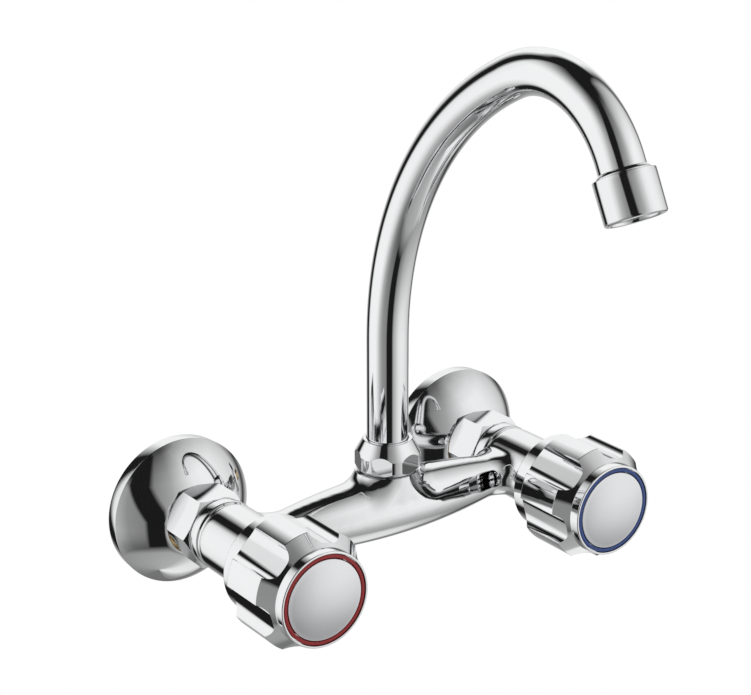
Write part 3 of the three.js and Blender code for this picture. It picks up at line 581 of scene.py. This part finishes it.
for x in SIDES.values():
    barrel = turned_piece("barrel", softened([
        (0, GROOVE_OUT), (BARREL_RADIUS, GROOVE_OUT, 1.0), (BARREL_RADIUS, BODY_FRONT),
        (0, BODY_FRONT),
    ]), sides=128)
    casting_parts.append(put(barrel, (x, 0, 0), OUT_OF_WALL))
    side = math.copysign(1, x)
    barrel_corner = (x - side * (BARREL_RADIUS - BAR_END), -BAR_OUT, 0)
    neck_corner = (0, -BAR_OUT, 0)
    for way in (-1, 1):
        casting_parts.append(elbow(BAR_END, BARREL_FILLET, barrel_corner, side, (0, way, 0)))
    casting_parts.append(elbow(NECK_RADIUS - 0.2, NECK_FILLET, neck_corner, -side, (0, 0, 1)))

casting = merged("casting", casting_parts)
apply_modifier(casting, "REMESH", mode="VOXEL", voxel_size=CASTING_VOXEL * MM)
apply_modifier(casting, "SMOOTH", factor=0.5, iterations=50)

# the neck is faced off flat, and the waterways are bored
faced_off = 0.1
work_on(casting)
bpy.ops.object.mode_set(mode="EDIT")
bpy.ops.mesh.select_all(action="SELECT")
bpy.ops.mesh.bisect(
    plane_co=(0, 0, (NECK_TOP - faced_off) * MM), plane_no=(0, 0, 1),
    use_fill=True, clear_outer=True)
bpy.ops.object.mode_set(mode="OBJECT")
for x in SIDES.values():
    bore = turned_piece("bore", [
        (0, BORE_BACK), (INLET_THREAD, BORE_BACK), (INLET_THREAD, INLET_END),
        (SEAT_HOLE, INLET_END), (SEAT_HOLE, SEAT_OUT), (CHAMBER_RADIUS, SEAT_OUT),
        (CHAMBER_RADIUS, VALVE_THREAD_END), (VALVE_THREAD, VALVE_THREAD_END),
        (VALVE_THREAD, BORE_FRONT), (0, BORE_FRONT),
    ], sides=64)
    cut_away(casting, put(bore, (x, 0, 0), OUT_OF_WALL))
neck_floor = SPIGOT_TOP - 19.0
neck_bore = turned_piece("neck_bore", [
    (0, neck_floor), (NECK_BORE, neck_floor), (NECK_BORE, NECK_TOP + 3), (0, NECK_TOP + 3),
], sides=64)
cut_away(casting, put(neck_bore, (0, -BAR_OUT, 0)))

# the lips and the spigot are turned after casting, so their edges stay crisp
crisp_parts = [casting]
lip_mouth = INLET_THREAD + 1.0
lip_foot = GROOVE_OUT + 1.6
for x in SIDES.values():
    lip = turned_piece("barrel_lip", softened([
        (lip_mouth, BODY_BACK), (BARREL_RADIUS, BODY_BACK, 1.2),
        (BARREL_RADIUS, GROOVE_OUT - 1.2, 0.9), (GROOVE_RADIUS, GROOVE_OUT - 0.4, 0.3),
        (GROOVE_RADIUS, lip_foot), (lip_mouth, lip_foot),
    ]), sides=128)
    crisp_parts.append(put(lip, (x, 0, 0), OUT_OF_WALL))
spigot = turned_piece("spigot", softened([
    (NECK_BORE, NECK_TOP - 2), (SPIGOT_RADIUS, NECK_TOP - 2), (SPIGOT_RADIUS, SPIGOT_TOP, 0.6),
    (NECK_BORE, SPIGOT_TOP),
]), sides=64)
crisp_parts.append(put(spigot, (0, -BAR_OUT, 0)))
casting = merged("body_casting", crisp_parts)
smooth(casting, 40)
finish_piece(casting, cast_chrome, "chrome", "faucet", "faucet_body")

# ---------------------------------------------------------------------------
# Spout nut: a turned brass nut with a conical top, milled with six flats that
# the cone ends in arches. It is chromed and screws down on the neck.
# ---------------------------------------------------------------------------
TUBE_RADIUS = 9.0
SPOUT_NUT_BOTTOM = 17.3
SPOUT_NUT_RADIUS = 14.3
SPOUT_NUT_ACROSS = 26.7
SPOUT_NUT_TURN = math.radians(42)
CONE_BOTTOM = 24.6
CONE_TOP = 31.2
spout_nut_bore = SPIGOT_RADIUS + GAP
spout_nut_opening = TUBE_RADIUS + GAP
foot_room = (10.9, CONE_TOP - 0.8)  # radius and top of the room for the spout's foot
spout_nut = turned_piece("spout_nut_blank", softened([
    (spout_nut_bore, SPOUT_NUT_BOTTOM), (12.9, SPOUT_NUT_BOTTOM, 0.4),
    (SPOUT_NUT_RADIUS, SPOUT_NUT_BOTTOM + 1.6, 0.8), (SPOUT_NUT_RADIUS, CONE_BOTTOM, 1.4),
    (10.7, CONE_TOP, 0.5), (spout_nut_opening, CONE_TOP + 0.2),
    (spout_nut_opening, foot_room[1]), foot_room,
    (foot_room[0], SPIGOT_TOP), (spout_nut_bore, SPIGOT_TOP),
]), sides=144)
milled(spout_nut, SPOUT_NUT_ACROSS, SPOUT_NUT_TURN)
apply_modifier(spout_nut, "BEVEL", width=0.25 * MM, segments=2, limit_method="ANGLE",
               angle_limit=math.radians(18))
smooth(spout_nut, 24, flats=True)
put(spout_nut, (0, -BAR_OUT, 0))
spout_nut.name = "spout_lock_nut"
finish_piece(spout_nut, cast_chrome, "chrome", "faucet", "spout_nut")

# ---------------------------------------------------------------------------
# Spout: an 18 mm brass tube bent through a long and a short arc, polished and
# chromed. Its foot and its tip are soldered in.
# ---------------------------------------------------------------------------
TUBE_BOTTOM = 28.7
TUBE_WALL = 1.0
RISE_TOP = 76.0
LONG_ARC = (138.8, math.radians(65.5))
SHORT_ARC = (45.9, math.radians(87.4))
STEPS_PER_RADIAN = 30
TIP_STRAIGHT = 3.2

tube_chrome = finish_material(
    "tube_chrome", (0.89, 0.895, 0.9), (0.83, 0.835, 0.845), (0.025, 0.06), 1.0,
    (22, 12, 900), ripple=0.03)

bpy.ops.object.select_all(action="DESELECT")
bpy.ops.mesh.primitive_circle_add(
    vertices=96, radius=TUBE_RADIUS * MM, fill_type="NOTHING", location=(0, 0, 0))
tube = put(bpy.context.object, (0, -BAR_OUT, TUBE_BOTTOM))
tube.name = "gooseneck"
bpy.ops.object.mode_set(mode="EDIT")
bpy.ops.mesh.select_all(action="SELECT")
bpy.ops.mesh.extrude_region_move(
    TRANSFORM_OT_translate={"value": (0, 0, (RISE_TOP - TUBE_BOTTOM) * MM)})
heading = 0.0
end = Vector((0, -BAR_OUT, RISE_TOP))
for arc_radius, arc_angle in (LONG_ARC, SHORT_ARC):
    inwards = Vector((0, -math.cos(heading), -math.sin(heading)))
    centre = end + inwards * arc_radius
    bpy.ops.mesh.spin(
        steps=round(arc_angle * STEPS_PER_RADIAN), angle=arc_angle, center=centre * MM,
        axis=(-1, 0, 0))
    heading += arc_angle
    end = centre + Vector((0, math.cos(heading), math.sin(heading))) * arc_radius
along_tip = Vector((0, -math.sin(heading), math.cos(heading)))
bpy.ops.mesh.extrude_region_move(
    TRANSFORM_OT_translate={"value": along_tip * TIP_STRAIGHT * MM})
tip_end = end + along_tip * TIP_STRAIGHT
bpy.ops.mesh.select_all(action="SELECT")
bpy.ops.mesh.remove_doubles(threshold=0.002 * MM)
bpy.ops.mesh.normals_make_consistent(inside=False)
bpy.ops.object.mode_set(mode="OBJECT")
apply_modifier(tube, "SOLIDIFY", thickness=TUBE_WALL * MM, offset=-1)
smooth(tube, 40)
finish_piece(tube, tube_chrome, "chrome", "spout", "spout_tube")

# ---------------------------------------------------------------------------
# Tip and aerator: a turned shoulder soldered into the tube, and the chromed
# housing screwed on it, with a perforated steel screen over a nylon insert.
# ---------------------------------------------------------------------------
ALONG_TIP = (heading - math.pi, 0, 0)
# heights are measured from the end of the tube and grow back up it
SLEEVE_RADIUS = TUBE_RADIUS - TUBE_WALL - 0.1
SLEEVE_BORE = 7.5
SLEEVE_TOP = 2.7
SHOULDER_TOP = -0.3
TIP_THREAD = 10.1
TIP_THREAD_END = -7.2
TIP_BORE = 6.4
HOUSING_RADIUS = 11.8
HOUSING_TOP = -1.7
HOUSING_BOTTOM = -18.3
HOUSING_BORE = 10.8
LIP_RADIUS = 9.2
LIP_TOP = HOUSING_BOTTOM + 1.5


def at_tip(piece):
    """Moves a piece turned on the Z axis to the end of the tube, with +Z back up it."""
    return put(piece, tip_end, ALONG_TIP)


shoulder = turned_piece("tip_shoulder", softened([
    (SLEEVE_BORE, SHOULDER_TOP), (SLEEVE_BORE, SLEEVE_TOP), (SLEEVE_RADIUS, SLEEVE_TOP),
    (SLEEVE_RADIUS, 0.1), (TUBE_RADIUS + 0.05, 0.1), (9.5, SHOULDER_TOP, 1.2),
    (10.3, -1.2, 0.5), (TIP_THREAD, -1.9), (TIP_THREAD, TIP_THREAD_END),
    (TIP_BORE, TIP_THREAD_END), (TIP_BORE, SHOULDER_TOP),
]))
smooth(shoulder, 40)
finish_piece(at_tip(shoulder), tube_chrome, "chrome", "spout", "spout_tip")

housing = turned_piece("aerator_shell", softened([
    (HOUSING_BORE, HOUSING_TOP), (HOUSING_RADIUS, HOUSING_TOP, 0.25),
    (HOUSING_RADIUS, HOUSING_TOP - 2.0, 0.2), (HOUSING_RADIUS - 0.1, HOUSING_BOTTOM, 1.1),
    (LIP_RADIUS + 0.4, HOUSING_BOTTOM, 0.5), (LIP_RADIUS, HOUSING_BOTTOM + 0.6),
    (LIP_RADIUS, LIP_TOP), (HOUSING_BORE, LIP_TOP),
]), sides=120)
smooth(housing, 40)
finish_piece(at_tip(housing), cast_chrome, "chrome", "spout", "aerator_housing")

# ---------------------------------------------------------------------------
# Knobs: hollow zinc castings, chromed. Each is turned with a collar and a cone
# at both ends, and six rounded scoops leave six lobes for the fingers. It sits
# with a square socket on the valve's spindle.
# ---------------------------------------------------------------------------
KNOB_BACK = 76.6
KNOB_FRONT = 118.6
KNOB_RADIUS = 25.8
REAR_COLLAR = 21.5
FRONT_COLLAR = 20.4
CAVITY_RADIUS = 19.2
CAVITY_END = 110.0
BOSS_RADIUS = 7.6
BOSS_BACK = 93.0
SOCKET_ACROSS = 6.8
SCREW_HOLE = 2.3
SCREW_HEAD_HOLE = 4.3
SCREW_SEAT = 112.8
RECESS_RADIUS = 19.4
RECESS_FLOOR = 115.6
KNOB_LOBES = 6
SCOOP_WIDTH = 16.6
SCOOP_CORNER = 5.5
SCOOP_FLOOR = 21.7
SCOOP_OUT = 97.5                    # distance of the scoops' middle from the wall
FIRST_SCOOP = math.radians(15)


def block(size, place):
    """A block of the given size round a place, in mm."""
    bpy.ops.object.select_all(action="DESELECT")
    bpy.ops.mesh.primitive_cube_add(size=1, location=(0, 0, 0))
    made = bpy.context.object
    made.scale = Vector(size) * MM
    return put(made, place)


knob_chrome = finish_material(
    "knob_chrome", (0.89, 0.895, 0.9), (0.83, 0.835, 0.845), (0.025, 0.06), 1.0,
    (40, 18, 900), ripple=0.03)

knob = turned_piece("knob_blank", softened([
    (SCREW_HOLE, SCREW_SEAT), (SCREW_HEAD_HOLE, SCREW_SEAT), (SCREW_HEAD_HOLE, RECESS_FLOOR),
    (RECESS_RADIUS, RECESS_FLOOR), (RECESS_RADIUS, KNOB_FRONT, 0.2),
    (FRONT_COLLAR, KNOB_FRONT, 0.5), (FRONT_COLLAR, KNOB_FRONT - 4.6, 0.3),
    (KNOB_RADIUS, KNOB_FRONT - 10.5, 0.5), (KNOB_RADIUS, KNOB_BACK + 10.1, 0.5),
    (REAR_COLLAR, KNOB_BACK + 6.7, 0.3), (REAR_COLLAR, KNOB_BACK, 0.5),
    (CAVITY_RADIUS, KNOB_BACK, 0.3), (CAVITY_RADIUS, CAVITY_END), (BOSS_RADIUS, CAVITY_END),
    (BOSS_RADIUS, BOSS_BACK, 0.3), (SCREW_HOLE, BOSS_BACK),
]), sides=144)
socket_depth = 15
socket_middle = (0, 0, BOSS_BACK + 6.5)
cutters = [block((SOCKET_ACROSS, SOCKET_ACROSS, socket_depth), socket_middle)]
scoop_depth = 20
scoop_length = 56
scoop_middle = (SCOOP_FLOOR + scoop_depth / 2, 0, SCOOP_OUT)
for k in range(KNOB_LOBES):
    scoop = block((scoop_depth, SCOOP_WIDTH, scoop_length), scoop_middle)
    apply_modifier(scoop, "BEVEL", width=SCOOP_CORNER * MM, segments=8)
    cutters.append(put(scoop, turn=(0, 0, FIRST_SCOOP + k * 2 * math.pi / KNOB_LOBES)))
cut_away(knob, merged("knob_cutters", cutters))
apply_modifier(knob, "BEVEL", width=0.3 * MM, segments=3, limit_method="ANGLE",
               angle_limit=math.radians(20))
smooth(knob, 32, flats=True)
put(knob, turn=OUT_OF_WALL)
for side, x in SIDES.items():
    grip = copy_of(knob, f"grip_{side}", (x, 0, 0))
    finish_piece(grip, knob_chrome, "chrome", f"{side}_handle", f"knob_{side}")
bpy.data.objects.remove(knob)

# ---------------------------------------------------------------------------
# Index rings and caps: a coloured plastic ring pressed into the front of each
# knob round a crowned cap of satin metal, which hides the screw.
# ---------------------------------------------------------------------------
red_plastic = finish_material(
    "red_plastic", (0.28, 0.003, 0.006), (0.23, 0.003, 0.005), (0.3, 0.42), 0.0,
    (60, 40, 2600), grain=0.004, coat=0.05)
blue_plastic = finish_material(
    "blue_plastic", (0.018, 0.055, 0.22), (0.014, 0.045, 0.18), (0.3, 0.42), 0.0,
    (60, 40, 2600), grain=0.004, coat=0.05)
satin_silver = finish_material(
    "satin_silver", (0.78, 0.785, 0.8), (0.75, 0.755, 0.77), (0.19, 0.23), 1.0,
    (20, 9, 2200), grain=0.0015)

RING_BACK = RECESS_FLOOR + GAP
RING_OUTSIDE = RECESS_RADIUS - GAP
CAP_EDGE = 17.3
CAP_BEVEL = 0.6                     # width of the turned-down edge
CAP_RIM = 118.45
CAP_CROWN = CAP_RIM + 2.35
ring_inside = CAP_EDGE + GAP
ring = turned_piece("index_band", softened([
    (ring_inside, RING_BACK), (RING_OUTSIDE, RING_BACK), (RING_OUTSIDE, KNOB_FRONT - 0.3, 0.3),
    (ring_inside, KNOB_FRONT - 0.2, 0.3),
]), sides=144)
smooth(ring, 40)
put(ring, turn=OUT_OF_WALL)
cap_profile = [(0, RING_BACK), (CAP_EDGE, RING_BACK), (CAP_EDGE, CAP_RIM - 0.35),
               (CAP_EDGE - 0.25, CAP_RIM - 0.05), (CAP_EDGE - CAP_BEVEL, CAP_RIM)]
cap_steps = 12
for k in range(cap_steps - 1, -1, -1):
    share = k / cap_steps
    height = CAP_CROWN - (CAP_CROWN - CAP_RIM) * share ** 2
    cap_profile.append(((CAP_EDGE - CAP_BEVEL) * share, height))
cap = turned_piece("cap_disc", cap_profile, sides=144)
smooth(cap, 40)
put(cap, turn=OUT_OF_WALL)
for side, x in SIDES.items():
    band = copy_of(ring, f"colour_band_{side}", (x, 0, 0))
    colour, slot = (red_plastic, "red") if side == "hot" else (blue_plastic, "blue")
    finish_piece(band, colour, slot, f"{side}_handle", f"index_ring_{side}")
    disc = copy_of(cap, f"cap_{side}", (x, 0, 0))
    finish_piece(disc, satin_silver, "satin", f"{side}_handle", f"index_cap_{side}")
bpy.data.objects.remove(ring)
bpy.data.objects.remove(cap)

# ---------------------------------------------------------------------------
# Pieces inside: brass valves and connectors, ceramic discs, rubber and fibre
# seals, and the steel and nylon of the screws and the aerator. They keep their
# solids and take the finish of their material.
# ---------------------------------------------------------------------------
inner_finishes = {
    "brass": finish_material(
        "machined_brass", (0.72, 0.55, 0.27), (0.55, 0.4, 0.18), (0.22, 0.42), 1.0,
        (60, 30, 1400), grain=0.01),
    "steel": finish_material(
        "stainless_steel", (0.62, 0.63, 0.64), (0.5, 0.51, 0.52), (0.2, 0.35), 1.0,
        (60, 30, 1800), grain=0.006),
    "rubber": finish_material(
        "sealing_rubber", (0.022, 0.022, 0.024), (0.035, 0.035, 0.037), (0.55, 0.8), 0.0,
        (60, 40, 1500), grain=0.02),
    "fibre": finish_material(
        "pressed_fibre", (0.33, 0.1, 0.06), (0.22, 0.07, 0.045), (0.75, 0.9), 0.0,
        (60, 60, 1100), grain=0.04),
    "ceramic": finish_material(
        "lapped_ceramic", (0.83, 0.81, 0.76), (0.78, 0.76, 0.71), (0.12, 0.25), 0.0,
        (60, 40, 2500), grain=0.002),
    "nylon": finish_material(
        "white_nylon", (0.8, 0.8, 0.77), (0.72, 0.72, 0.69), (0.4, 0.55), 0.0,
        (60, 40, 1500), grain=0.008),
}
slots = {part["node"]: part["material_slot"] for part in frame["record"]["subparts"]}
for name, solid in frame["nodes"].items():
    finish = inner_finishes.get(slots[name])
    if finish:
        solid.data.materials.clear()
        solid.data.materials.append(finish)
